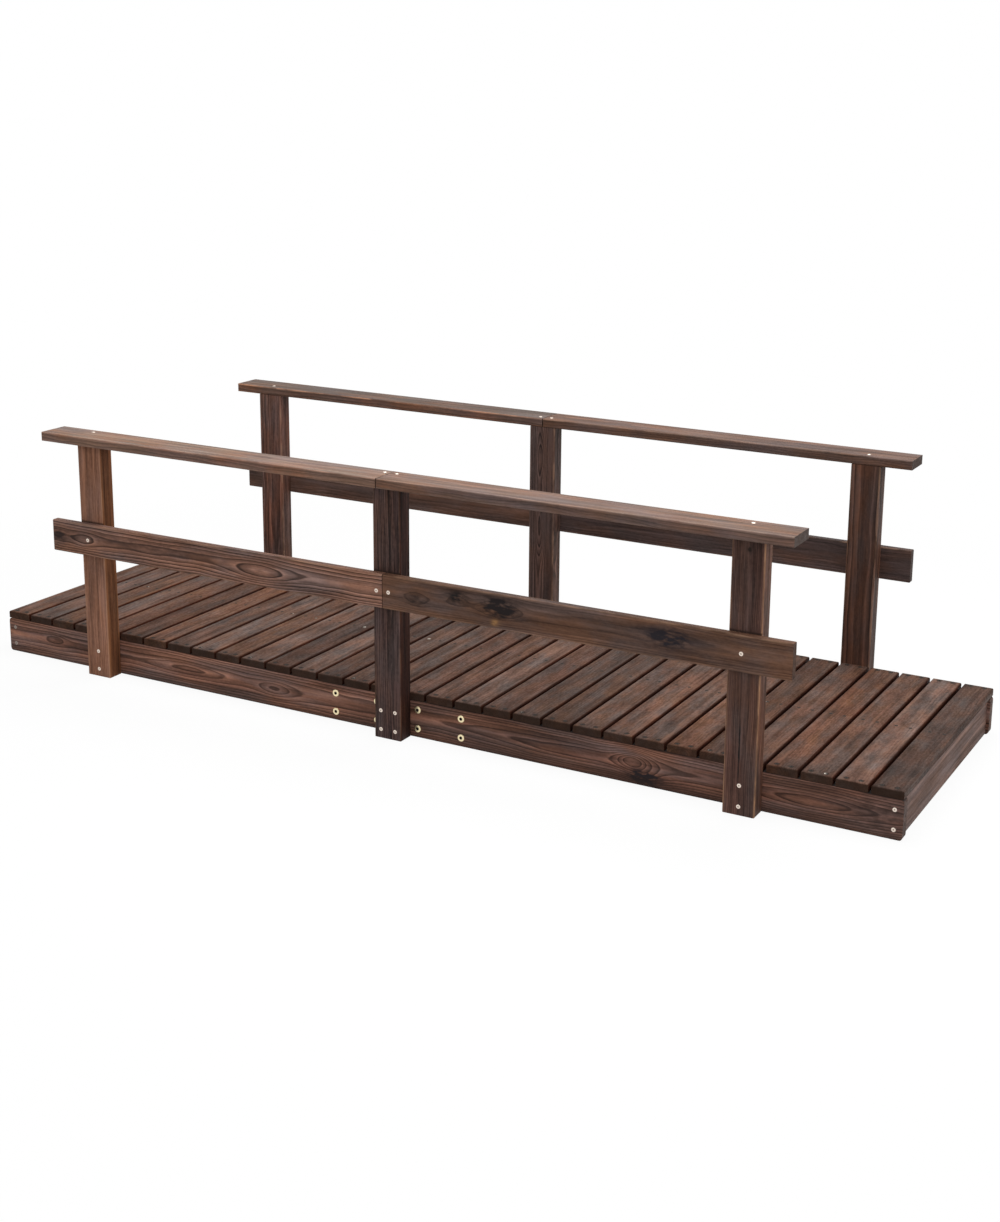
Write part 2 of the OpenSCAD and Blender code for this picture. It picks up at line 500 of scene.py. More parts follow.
    def stain(self, ring: Socket, vigour: Socket, fibre: Socket) -> Socket:
        """Lays the stain's colours by ring, fibre and patch.

        Args:
            ring: Place within a growth ring.
            vigour: How strongly that ring shows.
            fibre: Lightness of the fibre.

        Returns:
            Colour socket.
        """
        look, tree = self.finish, self.tree
        ramp = add_node(tree, "ValToRGB", {0: ring})
        stops = look.ring_stops()
        while len(ramp.color_ramp.elements) < len(stops):
            ramp.color_ramp.elements.new(0.5)
        for stop, (at, factor) in zip(ramp.color_ramp.elements, stops):
            stop.position = at
            stop.color = linear(look.tone, factor)
        tint = add_node(tree, "MapRange", {
            "Value": fibre, "To Min": 1 - look.fibre, "To Max": 1 + look.fibre}).outputs[0]
        along, across = look.patch
        patch = self.noise(Cells((along, across, across), PATCH_SALT, detail=3.0)).outputs["Color"]
        drift = add_node(tree, "SeparateXYZ", {0: patch}).outputs
        cloud = add_node(tree, "MapRange", {
            "Value": drift[2], "From Min": CLOUD_SPAN[0], "From Max": CLOUD_SPAN[1],
            "To Min": 1 - look.mottle, "To Max": 1 + look.mottle}).outputs[0]
        tint = add_node(tree, "Math", {0: tint, 1: cloud}, operation="MULTIPLY").outputs[0]
        own = add_node(tree, "SeparateXYZ", {0: self.lot}).outputs if self.lot else None
        if own:
            level = add_node(tree, "MapRange", {
                "Value": own[0], "To Min": 1 - look.spread, "To Max": 1 + look.spread}).outputs[0]
            tint = add_node(tree, "Math", {0: tint, 1: level}, operation="MULTIPLY").outputs[0]
        banded = add_node(tree, "Mix", {
            0: vigour, MIX_FIRST: linear(look.tone, look.plain), MIX_SECOND: ramp.outputs[0]},
            data_type="RGBA").outputs[MIX_RESULT]
        wood = add_node(tree, "VectorMath", {0: banded, 1: tint}, operation="MULTIPLY").outputs[0]
        shade = add_node(tree, "RGBToBW", {0: wood}).outputs[0]
        for n, (colour, most) in enumerate(((look.warm, look.warming), (look.grey, look.greying))):
            share = add_node(tree, "MapRange", {
                "Value": drift[n], "From Min": HUE_SPAN[0], "From Max": HUE_SPAN[1],
                "To Max": most}).outputs[0]
            if own:
                share = add_node(tree, "Math", {0: own[n + 1], 1: most * look.own_hue, 2: share},
                                 operation="MULTIPLY_ADD", use_clamp=True).outputs[0]
            other = add_node(tree, "VectorMath", {
                0: shade, 1: repaint(colour)}, operation="MULTIPLY").outputs[0]
            wood = add_node(tree, "Mix", {0: share, MIX_FIRST: wood, MIX_SECOND: other},
                            data_type="RGBA").outputs[MIX_RESULT]
        return wood

    def knots(self, hills: list[Socket]) -> list[Layer]:
        """Stains the knots, with ragged edges drawn out along the fibres.

        Args:
            hills: Hill of each knot.

        Returns:
            Share and colour of each stained knot.
        """
        tree = self.tree
        stained = [(knot, hill) for knot, hill in zip(self.figure.knots, hills) if knot.depth]
        if not stained:
            return []
        rags = add_node(tree, "MapRange", {
            "Value": self.noise(KNOT_RAGS).outputs[0],
            "From Min": RAG_SPAN[0], "From Max": RAG_SPAN[1]}).outputs[0]
        layers = []
        for knot, hill in stained:
            core = add_node(tree, "Math", {0: hill, 1: knot.depth}, operation="MULTIPLY").outputs[0]
            share = add_node(tree, "Math", {
                0: core, 1: rags}, operation="MULTIPLY", use_clamp=True).outputs[0]
            layers.append((share, knot.stain))
        return layers

    def edges(self) -> list[Layer]:
        """Paints the arrises in a tone that is partly rubbed wear and partly painted light, lets the stain
        gather near the ends, and paints shade along the ground.

        Returns:
            Share and colour of each of these.
        """
        look, tree = self.finish, self.tree
        size = add_node(tree, "VectorMath", {0: self.local}, operation="ABSOLUTE").outputs[0]
        left = add_node(tree, "VectorMath", {0: self.half, 1: size}, operation="SUBTRACT").outputs[0]
        part = add_node(tree, "SeparateXYZ", {0: left}).outputs
        near = add_node(tree, "Math", {0: part[1], 1: part[2]}, operation="ADD").outputs[0]
        arris = add_node(tree, "MapRange", {
            "Value": near, "From Min": look.wear_mm, "From Max": look.wear_mm * FULL_WITHIN,
            "To Max": look.wear}).outputs[0]
        rubs = self.noise(RUBBED_SPOTS).outputs[0]
        patchy = add_node(tree, "MapRange", {
            "Value": rubs, "From Min": RUB_SPAN[0], "From Max": RUB_SPAN[1],
            "To Min": look.rubbed}).outputs[0]
        rubbed = add_node(tree, "Math", {0: arris, 1: patchy}, operation="MULTIPLY").outputs[0]
        # Arris tone: rubbed wear with a painted highlight on rails and posts, painted shade along the gaps on
        # the deck.
        layers = [(rubbed, look.arris_wear_and_light)]
        if look.seep:
            near_end = add_node(tree, "MapRange", {
                "Value": part[0], "From Min": SEEP_MM, "From Max": 0.0, "To Max": look.seep}).outputs[0]
            seeped = add_node(tree, "Math", {0: near_end, 1: rubs}, operation="MULTIPLY").outputs[0]
            layers.append((seeped, look.end))
        # Painted shade along the ground, in the soaked colour.
        if look.foot:
            height = add_node(tree, "SeparateXYZ", {0: self.local}).outputs[1]
            low = add_node(tree, "MapRange", {
                "Value": height, "From Min": FOOT_MM - self.half.y, "From Max": -self.half.y,
                "To Max": look.foot}).outputs[0]
            layers.append((low, look.end))
        return layers

    def corner(self) -> list[Layer]:
        """A board with nothing lying against it gets no painted corner shade."""
        return []

    def paint_side_light(self, wood: Socket) -> Socket:
        """Paints light and shade on the narrow sides: shade on the deck's sides along the gaps and on the
        beams' top and bottom, and the lamps' light and shade on the sides of posts and handrails.

        Args:
            wood: Colour so far.

        Returns:
            Colour socket.
        """
        look, tree = self.finish, self.tree
        if not look.painted_side_tone:
            return wood
        side = add_node(tree, "VectorMath", {
            0: self.normal, 1: self.lie.value[1]}, operation="DOT_PRODUCT").outputs["Value"]
        away = add_node(tree, "Math", {0: side}, operation="ABSOLUTE").outputs[0]
        turned = add_node(tree, "MapRange", {
            "Value": away, "From Min": NARROW_SPAN[0], "From Max": NARROW_SPAN[1]}).outputs[0]
        if self.inner:
            turned = add_node(tree, "Math", {0: turned, 1: self.inner}, operation="MULTIPLY").outputs[0]
        change = tuple(f / t for f, t in zip(linear(look.painted_side_tone), linear(look.tone)))
        shade = add_node(tree, "Mix", {0: turned, MIX_FIRST: linear(WHITE), MIX_SECOND: change},
                         data_type="RGBA").outputs[MIX_RESULT]
        return add_node(tree, "VectorMath", {0: wood, 1: shade}, operation="MULTIPLY").outputs[0]

    def soak(self, wood: Socket) -> Socket:
        """Lets the sawn ends drink the stain, in a run each board with its own thirst.

        Args:
            wood: Colour so far.

        Returns:
            Colour socket.
        """
        look, tree = self.finish, self.tree
        facing = add_node(tree, "VectorMath", {
            0: self.normal, 1: self.lie.value[0]}, operation="DOT_PRODUCT").outputs["Value"]
        sawn = add_node(tree, "Math", {0: facing}, operation="ABSOLUTE").outputs[0]
        share = add_node(tree, "MapRange", {
            "Value": sawn, "From Min": SAWN_SPAN[0], "From Max": SAWN_SPAN[1],
            "To Max": look.soak}).outputs[0]
        if self.lot:
            own = add_node(tree, "SeparateXYZ", {0: self.lot}).outputs[2]
            thirst = add_node(tree, "MapRange", {"Value": own, "To Min": look.thirst}).outputs[0]
            share = add_node(tree, "Math", {0: share, 1: thirst}, operation="MULTIPLY").outputs[0]
        return add_node(tree, "Mix", {0: share, MIX_FIRST: wood, MIX_SECOND: linear(look.end)},
                        data_type="RGBA").outputs[MIX_RESULT]


@dataclass
class Post(Board):
    """A post with painted shade in the corner above the mid rail that lies against its outer face."""

    rail_top: float = 0.0
    outer_sign: int = -1

    def corner(self) -> list[Layer]:
        """Paints shade on the outer face just above the rail, in the corner where the rail meets the post.

        Returns:
            Share and colour of the dark band.
        """
        look, tree = self.finish, self.tree
        part = add_node(tree, "SeparateXYZ", {0: self.local}).outputs
        above = add_node(tree, "Math", {
            0: part[0], 1: self.rail_top - self.middle.z}, operation="SUBTRACT").outputs[0]
        away = add_node(tree, "Math", {0: above}, operation="ABSOLUTE").outputs[0]
        band = add_node(tree, "MapRange", {
            "Value": away, "From Min": CORNER_MM, "From Max": CORNER_MM * FULL_WITHIN,
            "To Max": look.corner}).outputs[0]
        face = self.outer_sign * self.half.z
        outer = add_node(tree, "MapRange", {
            "Value": part[2], "From Min": face * OUTER_FACE_SPAN[0],
            "From Max": face * OUTER_FACE_SPAN[1]}).outputs[0]
        share = add_node(tree, "Math", {0: band, 1: outer}, operation="MULTIPLY").outputs[0]
        # The band is painted shade, in the soaked colour.
        return [(share, look.end)]


@dataclass
class DeckBoards(Board):
    """The run of deck boards, each with its own lot of grain and tone."""

    pitch: float = 0.0
    screw_line: float = 0.0
    screw_apart: float = 0.0
    # Stain round a screw, with the painted shade of its countersunk hole: its reach, the share of that within
    # which it is full, how much shows, colour.
    stain_and_shade_ring: float = 7.0
    ring_full: float = 0.6
    ring_share: float = 0.9
    stain_and_shade: str = "#1c120e"
    # Depth of the outer sides of the first and last board, which look into no gap, get no painted side shade
    # and keep the tone of the top.
    outer_side: float = 2.0

    def measure(self) -> None:
        """Takes the middle and half sizes of the first board."""
        self.pitch, width = deck_run()
        low, high, self.middle = box_mm(self.nodes[0])
        self.half = Vector((high.y - low.y, width, high.z - low.z)) / 2
        self.middle.x = low.x + self.half.y

    def knots(self, hills: list[Socket]) -> list[Layer]:
        """Rings the outer screws with the stain round their heads and the painted shade of their countersunk
        holes.

        Args:
            hills: Hill of each knot, none here; not used.

        Returns:
            Share and colour of the rings.
        """
        tree = self.tree
        size = add_node(tree, "VectorMath", {0: self.local}, operation="ABSOLUTE").outputs[0]
        part = add_node(tree, "SeparateXYZ", {0: size}).outputs
        outer = add_node(tree, "Math", {0: part[0], 1: self.screw_line}, operation="SUBTRACT").outputs[0]
        across = add_node(tree, "Math", {
            0: part[1], 1: self.screw_apart / 2}, operation="SUBTRACT").outputs[0]
        away = add_node(tree, "CombineXYZ", {0: outer, 1: across}).outputs[0]
        far = add_node(tree, "VectorMath", {0: away}, operation="LENGTH").outputs["Value"]
        spot = add_node(tree, "MapRange", {
            "Value": far, "From Min": self.stain_and_shade_ring, "From Max": self.stain_and_shade_ring * self.ring_full,
            "To Max": self.ring_share}).outputs[0]
        height = add_node(tree, "SeparateXYZ", {0: self.local}).outputs[2]
        top = add_node(tree, "MapRange", {"Value": height}).outputs[0]
        share = add_node(tree, "Math", {0: spot, 1: top}, operation="MULTIPLY").outputs[0]
        # The ring is stain and painted shade of the hole.
        return [(share, self.stain_and_shade)]

    def draw_lots(self) -> None:
        """Draws a lot for each board, so that neighbours differ, and measures from its own middle."""
        tree = self.tree
        part = add_node(tree, "SeparateXYZ", {0: self.local}).outputs
        across = add_node(tree, "Math", {
            0: part[1], 1: self.pitch / 2, 2: -self.pitch / 2}, operation="WRAP").outputs[0]
        gone = add_node(tree, "Math", {0: part[1], 1: across}, operation="SUBTRACT").outputs[0]
        count = add_node(tree, "Math", {0: gone, 1: -1 / self.pitch}, operation="MULTIPLY").outputs[0]
        whole = add_node(tree, "Math", {0: count}, operation="ROUND").outputs[0]
        number = add_node(tree, "Math", {0: whole, 1: float(self.figure.seed)}, operation="ADD").outputs[0]
        self.lot = add_node(tree, "TexWhiteNoise", {"W": number}, noise_dimensions="1D").outputs["Color"]
        # Sides that look into a gap get the painted shade of the gap; the outer sides of the first and last
        # board do not.
        run = self.pitch * (DECK_BOARDS - 1) / 2
        self.inner = add_node(tree, "Math", {
            0: part[1], 1: -run, 2: run + self.half.y - self.outer_side}, operation="COMPARE").outputs[0]
        self.local = add_node(tree, "CombineXYZ", {0: part[0], 1: across, 2: part[2]}).outputs[0]


@dataclass(frozen=True)
class PlatedSteel:
    """Plated steel: a bright, slightly brushed metal, with some heads darkened by stain and by painted shade,
    for screws sunk in their holes.

    The wear is drawn 2.5 mm wide, because real scratches are too fine to show in a picture.
    """

    name: str
    tone: str
    rough: float = 0.38
    rough_span: tuple[float, float] = (-0.1, 0.15)
    wear_mm: float = 2.5
    shade: tuple[float, float] = (0.72, 1.2)
    smear_and_shade: str = "#0f0b09"
    smeared_and_shaded: float = 0.0
    smear_and_shade_span: tuple[float, float] = (0.75, 0.67)
    # Distance in millimetres over which dark and bare heads take turns.
    spacing: float = 35.0
    metallic: float = 1.0
    sheen: float = 0.5

    def material(self) -> bpy.types.Material:
        """Builds the metal.

        Returns:
            The material.
        """
        made, tree = new_material(self.name)
        place = add_node(tree, "TexCoord").outputs["Object"]
        spot = add_node(tree, "VectorMath", {0: place, "Scale": 1 / MM}, operation="SCALE").outputs[0]
        wear = add_node(tree, "TexNoise", {
            "Vector": spot, "Scale": 1 / self.wear_mm, "Detail": 3.0}).outputs[0]
        shade = add_node(tree, "MapRange", {
            "Value": wear, "To Min": self.shade[0], "To Max": self.shade[1]}).outputs[0]
        metal = add_node(tree, "VectorMath", {
            0: linear(self.tone)[:3], 1: shade}, operation="MULTIPLY").outputs[0]
        bare = self.metallic
        # Dark heads: stain together with painted shade of the holes they sit in.
        if self.smeared_and_shaded:
            lots = add_node(tree, "TexNoise", {
                "Vector": spot, "Scale": 1 / self.spacing, "Detail": 0.0}).outputs[0]
            share = add_node(tree, "MapRange", {
                "Value": lots, "From Min": self.smear_and_shade_span[0], "From Max": self.smear_and_shade_span[1],
                "To Max": self.smeared_and_shaded}).outputs[0]
            metal = add_node(tree, "Mix", {0: share, MIX_FIRST: metal, MIX_SECOND: linear(self.smear_and_shade)},
                             data_type="RGBA").outputs[MIX_RESULT]
            bare = add_node(tree, "Math", {0: 1.0, 1: share}, operation="SUBTRACT").outputs[0]
        least, most = (self.rough + step for step in self.rough_span)
        rough = add_node(tree, "MapRange", {"Value": wear, "To Min": least, "To Max": most}).outputs[0]
        shader = add_node(tree, "BsdfPrincipled", {
            "Base Color": metal, "Metallic": bare, "Roughness": rough, "Specular IOR Level": self.sheen})
        add_node(tree, "OutputMaterial", {"Surface": shader.outputs[0]})
        return made


# Zinc-plated steel, pressed: small bright heads with a warm glint.
ZINC = PlatedSteel("zinc_plated_screw", "#e0d1c4")
# The same plating, greyer and rougher: soft and hardly shining.
DULL_ZINC = PlatedSteel("dulled_zinc_screw", "#948880", rough=0.55)
# Zinc heads brushed over with the boards, darkened by stain and by painted shade of their sunk holes: most
# are nearly black, a few stay bright.
STAINED_AND_SHADED_ZINC = PlatedSteel("zinc_screw_under_stain_and_shade", "#cfc7bb", rough=0.7, smeared_and_shaded=0.95, sheen=0.1)
# Yellow zinc on turned bolts and nuts: pale brass, brighter than the screws.
BRASSED = PlatedSteel("yellow_zinc_bolt", "#ecdcb4", rough=0.32)
# Painted shade in the recesses, no metal: matte and black, so that cross and hexagon show from afar.
RECESS_SHADE = PlatedSteel("painted_recess_shade", "#1a120e", rough=0.8, metallic=0.0)


def start_piece(name: str, add: Callable[..., set[str]], **sizes: object) -> Piece:
    """Adds a primitive to shape, with nothing else selected.

    Args:
        name: Name of the object.
        add: Operator that adds the primitive.
        sizes: Its sizes in metres.

    Returns:
        The new object.
    """
    bpy.ops.object.select_all(action="DESELECT")
    add(**sizes)
    made = bpy.context.object
    made.name = made.data.name = name
    return made


def start_round(name: str, sides: int, across: float, high: float, foot: float) -> Piece:
    """Adds an upright cylinder or prism to shape, with its place in its mesh.

    Args:
        name: Name of the object.
        sides: Number of its sides.
        across: Diameter in millimetres.
        high: Height in millimetres.
        foot: Height of its lower face in millimetres.

    Returns:
        The new object.
    """
    made = start_piece(name, bpy.ops.mesh.primitive_cylinder_add, vertices=sides, radius=across / 2 * MM,
                       depth=high * MM, location=(0.0, 0.0, (foot + high / 2) * MM))
    bpy.ops.object.transform_apply(location=True, rotation=True, scale=True)
    return made


def edit_faces(piece: Piece, test: Callable[[Face], bool]) -> None:
    """Opens a piece in edit mode with some of its faces selected.

    Args:
        piece: The piece.
        test: Says which faces to select.
    """
    bpy.context.view_layer.objects.active = piece
    bpy.ops.object.mode_set(mode="EDIT")
    bpy.ops.mesh.select_mode(type="FACE")
    bpy.ops.mesh.select_all(action="DESELECT")
    bpy.ops.object.mode_set(mode="OBJECT")
    for face in piece.data.polygons:
        face.select = test(face)
    bpy.ops.object.mode_set(mode="EDIT")


def cut_away(piece: Piece, tool: Piece) -> None:
    """Cuts one object out of another and removes the tool.

    Args:
        piece: The piece that stays.
        tool: The shape that is cut out of it.
    """
    bpy.context.view_layer.objects.active = piece
    cut = piece.modifiers.new("cut", "BOOLEAN")
    cut.operation, cut.solver, cut.object = "DIFFERENCE", "EXACT", tool
    bpy.ops.object.modifier_apply(modifier=cut.name)
    bpy.data.objects.remove(tool)


def is_top(face: Face) -> bool:
    """Whether a face looks straight up."""
    return face.normal.z > STRAIGHT


def is_under(face: Face) -> bool:
    """Whether a face looks straight down."""
    return face.normal.z < -STRAIGHT


@dataclass(frozen=True)
class Spot:
    """Where a fastener sits: its place in millimetres and the way its head looks."""

    at: tuple[float, float, float]
    facing: tuple[float, float, float]


@dataclass
class Fastener:
    """A fastener that is modelled once, standing along Z, and set into the timber many times."""

    finish: PlatedSteel
    smooth_below: ClassVar[float] = 35.0

    def model(self) -> Piece:
        """Models one fastener with its seat at zero and its head up."""
        raise NotImplementedError

    def hollow(self, centre: Vector) -> bool:
        """Whether a face with this middle lies in the driver's recess, which is painted in shade."""
        return False

    def set_in(self, name: str, spots: Iterable[Spot]) -> None:
        """Copies the fastener to its spots, each turned as a driver happens to leave it.

        Args:
            name: Name of the one piece that holds all the copies.
            spots: Where they go.
        """
        master = self.model()
        master.data.materials.clear()
        # The second material paints the recess in shade.
        for finish in (self.finish, RECESS_SHADE):
            master.data.materials.append(finish.material())
        for face in master.data.polygons:
            face.material_index = int(self.hollow(face.center / MM))
        chance = random.Random(name)
        copies = []
        for spot in spots:
            copy = bpy.data.objects.new(name, master.data.copy())
            bpy.context.scene.collection.objects.link(copy)
            stand = Vector(spot.facing).to_track_quat("Z", "Y").to_matrix().to_4x4()
            spin = Matrix.Rotation(chance.uniform(0.0, math.tau), 4, "Z")
            copy.data.transform(Matrix.Translation(Vector(spot.at) * MM) @ stand @ spin)
            copies.append(copy)
        bpy.data.objects.remove(master)
        bpy.ops.object.select_all(action="DESELECT")
        for copy in copies:
            copy.select_set(True)
        bpy.context.view_layer.objects.active = copies[0]
        bpy.ops.object.join()
        whole = bpy.context.object
        whole.name = whole.data.name = name
        bpy.ops.object.shade_smooth_by_angle(angle=math.radians(self.smooth_below))
        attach(whole, BODY)
        LOG.info("%s: %d set in", name, len(copies))


@dataclass
class CrossScrew(Fastener):
    """Countersunk wood screw with a cross recess; only the head shows."""

    head: float = 9.0
    rim: float = 0.5
    crown: float = 0.35
    crown_inset: float = 0.4
    sunk: float = 1.4
    cone_inset: float = 0.55
    slot: float = 0.9
    slot_long: float = 3.6
    slot_deep: float = 1.0
    sides: int = 10
    # Shares of depth and length that take in the faces of the cross and leave the rest of the head.
    recess_depth: ClassVar[float] = 0.9
    recess_reach: ClassVar[float] = 0.6

    def hollow(self, centre: Vector) -> bool:
        """Whether a face lies in the cross recess."""
        deep = -self.recess_depth * self.slot_deep < centre.z < self.recess_depth * self.crown
        return deep and centre.xy.length < self.recess_reach * self.slot_long

    def model(self) -> Piece:
        """Models a low crowned head on a cone, and cuts the cross into it.

        Returns:
            The screw head.
        """
        radius = self.head / 2 * MM
        screw = start_round("screw", self.sides, self.head, self.rim, -self.rim)
        edit_faces(screw, is_top)
        bpy.ops.mesh.inset(thickness=radius * self.crown_inset, depth=self.crown * MM)
        bpy.ops.object.mode_set(mode="OBJECT")
        edit_faces(screw, is_under)
        bpy.ops.mesh.inset(thickness=radius * self.cone_inset, depth=self.sunk * MM)
        bpy.ops.object.mode_set(mode="OBJECT")
        for turn in (0.0, math.pi / 2):
            bar = start_piece("recess", bpy.ops.mesh.primitive_cube_add, size=1.0,
                              location=(0.0, 0.0, self.crown * MM), rotation=(0.0, 0.0, turn))
            bar.scale = (self.slot_long * MM, self.slot * MM, 2 * self.slot_deep * MM)
            cut_away(screw, bar)
        return screw


@dataclass
class SocketBolt(Fastener):
    """Flat-headed joining bolt with a hexagon socket, long enough for beam, plate and nut."""

    head: float = 16.0
    head_high: float = 2.4
    head_round: float = 0.9
    head_sides: int = 28
    socket: float = 8.0
    socket_deep: float = 4.5
    shank: float = 8.3
    reach: float = 53.0
    tip: float = 0.8
    # Shares of depth, height and width that take in the faces of the socket and leave the rest.
    socket_floor: ClassVar[float] = 1.2
    socket_mouth: ClassVar[float] = 0.95
    socket_reach: ClassVar[float] = 0.48

    def hollow(self, centre: Vector) -> bool:
        """Tells whether a face lies in the hexagon socket.

        Args:
            centre: Middle of the face in millimetres.

        Returns:
            True for a wall or the floor of the socket.
        """
        floor = self.head_high - self.socket_floor * self.socket_deep
        deep = floor < centre.z < self.socket_mouth * self.head_high
        return deep and centre.xy.length < self.socket_reach * self.socket

    def model(self) -> Piece:
        """Models the head, rounds its rim, draws out the shank and cuts the socket.

        Returns:
            The bolt.
        """
        bolt = start_round("bolt", self.head_sides, self.head, self.head_high, 0.0)
        edit_faces(bolt, is_top)
        bpy.ops.mesh.bevel(offset=self.head_round * MM, segments=3, affect="EDGES")
        bpy.ops.object.mode_set(mode="OBJECT")
        edit_faces(bolt, is_under)
        bpy.ops.mesh.inset(thickness=(self.head - self.shank) / 2 * MM)
        bpy.ops.mesh.extrude_region_move(TRANSFORM_OT_translate={"value": (0.0, 0.0, -self.reach * MM)})
        bpy.ops.mesh.bevel(offset=self.tip * MM, segments=1, affect="EDGES")
        bpy.ops.object.mode_set(mode="OBJECT")
        key = start_round("socket", 6, self.socket, 2 * self.socket_deep, self.head_high - self.socket_deep)
        cut_away(bolt, key)
        return bolt


@dataclass
class WasheredNut(Fastener):
    """Hexagon nut on a round washer, for the inner face of the joining plate."""

    nut: float = 15.0
    nut_high: float = 6.5
    nut_inset: float = 0.9
    nut_crown: float = 0.6
    washer: float = 18.0
    washer_high: float = 1.6
    washer_round: float = 0.4
    washer_sides: int = 24

    def model(self) -> Piece:
        """Models the washer, raises the nut on it and eases the nut's corners.

        Returns:
            The nut and washer.
        """
        washer = start_round("washer", self.washer_sides, self.washer, self.washer_high, 0.0)
        edit_faces(washer, is_top)
        bpy.ops.mesh.bevel(offset=self.washer_round * MM, segments=2, affect="EDGES")
        bpy.ops.object.mode_set(mode="OBJECT")
        nut = start_round("nut", 6, self.nut, self.nut_high, self.washer_high)
        edit_faces(nut, is_top)
        bpy.ops.mesh.inset(thickness=self.nut_inset * MM)
        bpy.ops.transform.translate(value=(0.0, 0.0, self.nut_crown * MM))
        bpy.ops.object.mode_set(mode="OBJECT")
        washer.select_set(True)
        nut.select_set(True)
        bpy.context.view_layer.objects.active = washer
        bpy.ops.object.join()
        return bpy.context.object


